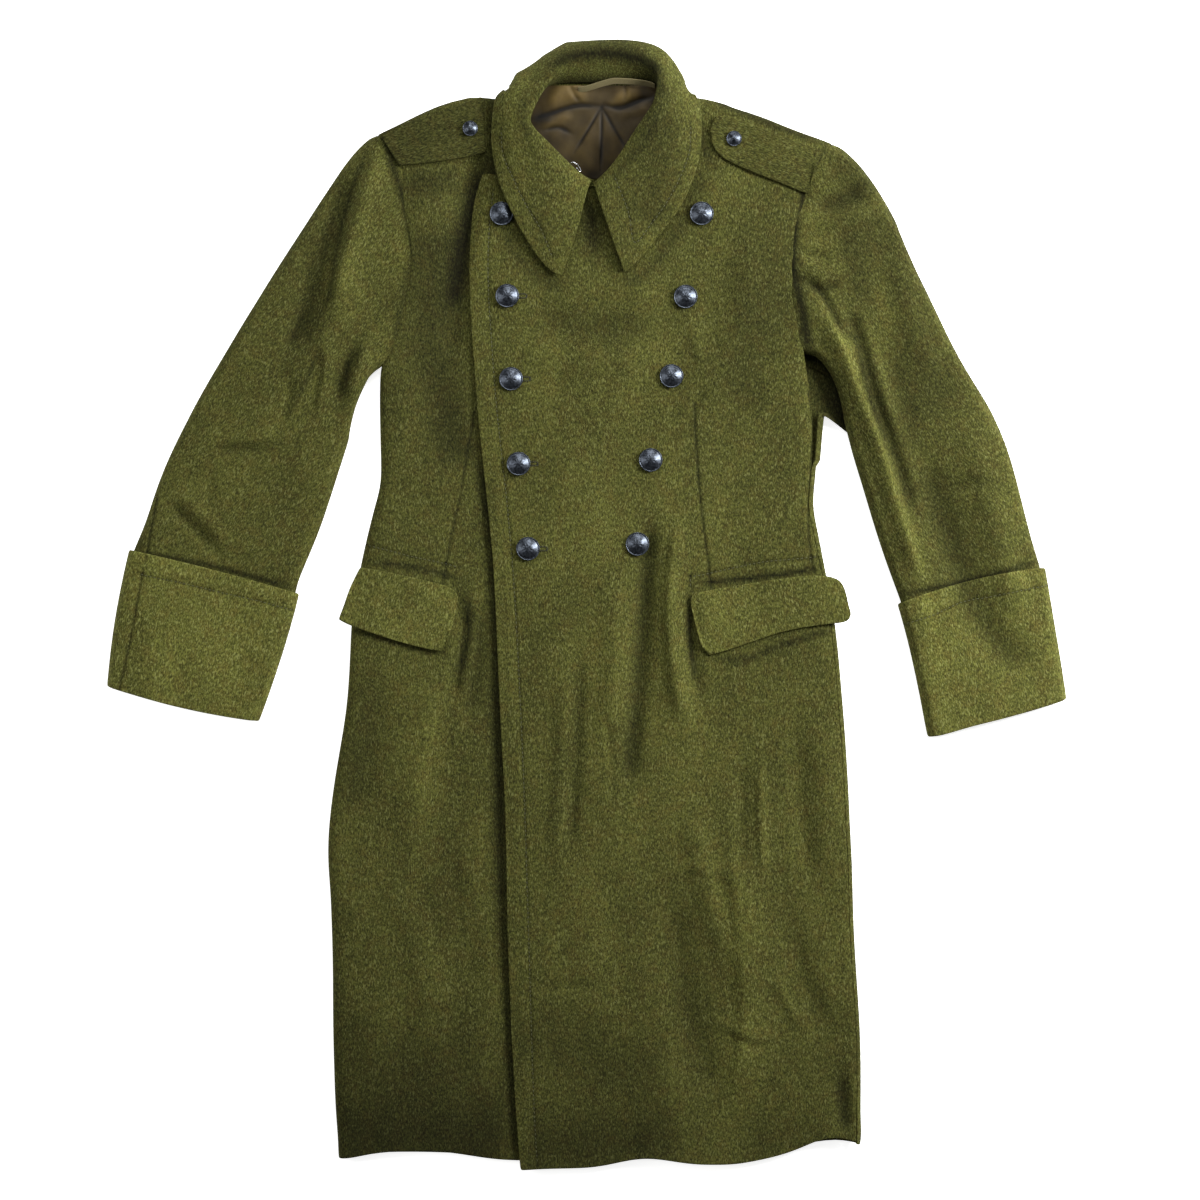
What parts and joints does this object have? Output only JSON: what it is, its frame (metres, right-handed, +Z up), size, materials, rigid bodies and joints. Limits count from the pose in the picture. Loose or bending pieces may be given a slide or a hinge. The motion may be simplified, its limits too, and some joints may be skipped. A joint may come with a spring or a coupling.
{
  "type": "military greatcoat",
  "caption": "Heavy wool double-breasted military greatcoat laid flat, front up, with a turn-down collar, shoulder straps, slanting pocket flaps and deep turned cuffs.",
  "frame": {"origin": "on the surface that the coat lies on, under the middle of its outline", "axes": "+Y from the hem towards the collar, +Z up from the surface through the back to the front, +X towards the wearer's left, which is on the right of a person looking down on the front"},
  "size_m": [1.019, 1.1977, 0.0376],
  "materials": {
    "olive_melton": "matt milled wool with a short nap",
    "brown_lining": "twill lining with a low sheen",
    "tan_tape": "matt woven tape",
    "gunmetal_button": "dark blue-grey metal with a worn gloss",
    "nickel_wire": "bright drawn wire"
  },
  "bodies": {
    "root": {"back": "olive_melton", "right_front": "olive_melton", "left_front": "olive_melton", "right_sleeve": "olive_melton", "left_sleeve": "olive_melton", "right_cuff": "olive_melton", "left_cuff": "olive_melton", "collar": "olive_melton", "right_pocket_flap": "olive_melton", "left_pocket_flap": "olive_melton", "right_shoulder_strap": "olive_melton", "left_shoulder_strap": "olive_melton", "neck_lining": "brown_lining", "hanger_loop": "tan_tape", "collar_hook": "nickel_wire", "button_right_1": "gunmetal_button", "button_right_2": "gunmetal_button", "button_right_3": "gunmetal_button", "button_right_4": "gunmetal_button", "button_right_5": "gunmetal_button", "button_left_1": "gunmetal_button", "button_left_2": "gunmetal_button", "button_left_3": "gunmetal_button", "button_left_4": "gunmetal_button", "button_left_5": "gunmetal_button", "strap_button_right": "gunmetal_button", "strap_button_left": "gunmetal_button"}
  },
  "joints": []
}
